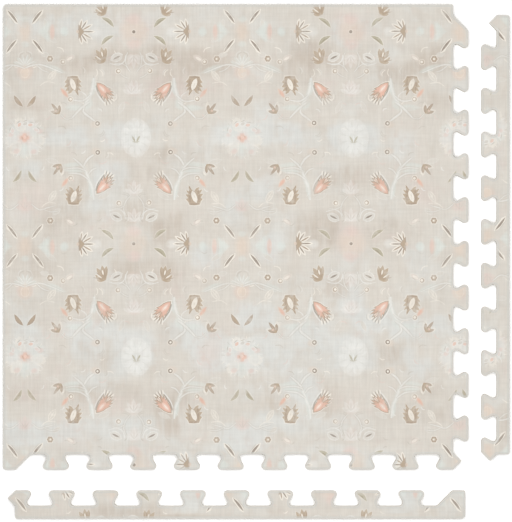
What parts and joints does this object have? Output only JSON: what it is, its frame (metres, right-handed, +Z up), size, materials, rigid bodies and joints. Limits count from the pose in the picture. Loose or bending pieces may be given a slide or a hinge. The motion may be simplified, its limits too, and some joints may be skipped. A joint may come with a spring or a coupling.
{
  "type": "baby play mat",
  "caption": "Square printed foam play mat with puzzle teeth along its right and lower edges, lying flat, with the two loose border strips that fill those edges.",
  "frame": {"origin": "on the floor, under the middle of the box that holds the mat and its two strips", "axes": "+Z up, out of the printed face; +X towards the toothed right edge and the side strip; +Y towards the finished top edge, away from the bottom strip"},
  "size_m": [0.6636, 0.674, 0.0127],
  "materials": {
    "printed_foam": "matt closed-cell foam with a faded floral print on its upper face"
  },
  "bodies": {
    "root": {"mat_square": "printed_foam", "side_border": "printed_foam", "bottom_border": "printed_foam"}
  },
  "joints": []
}
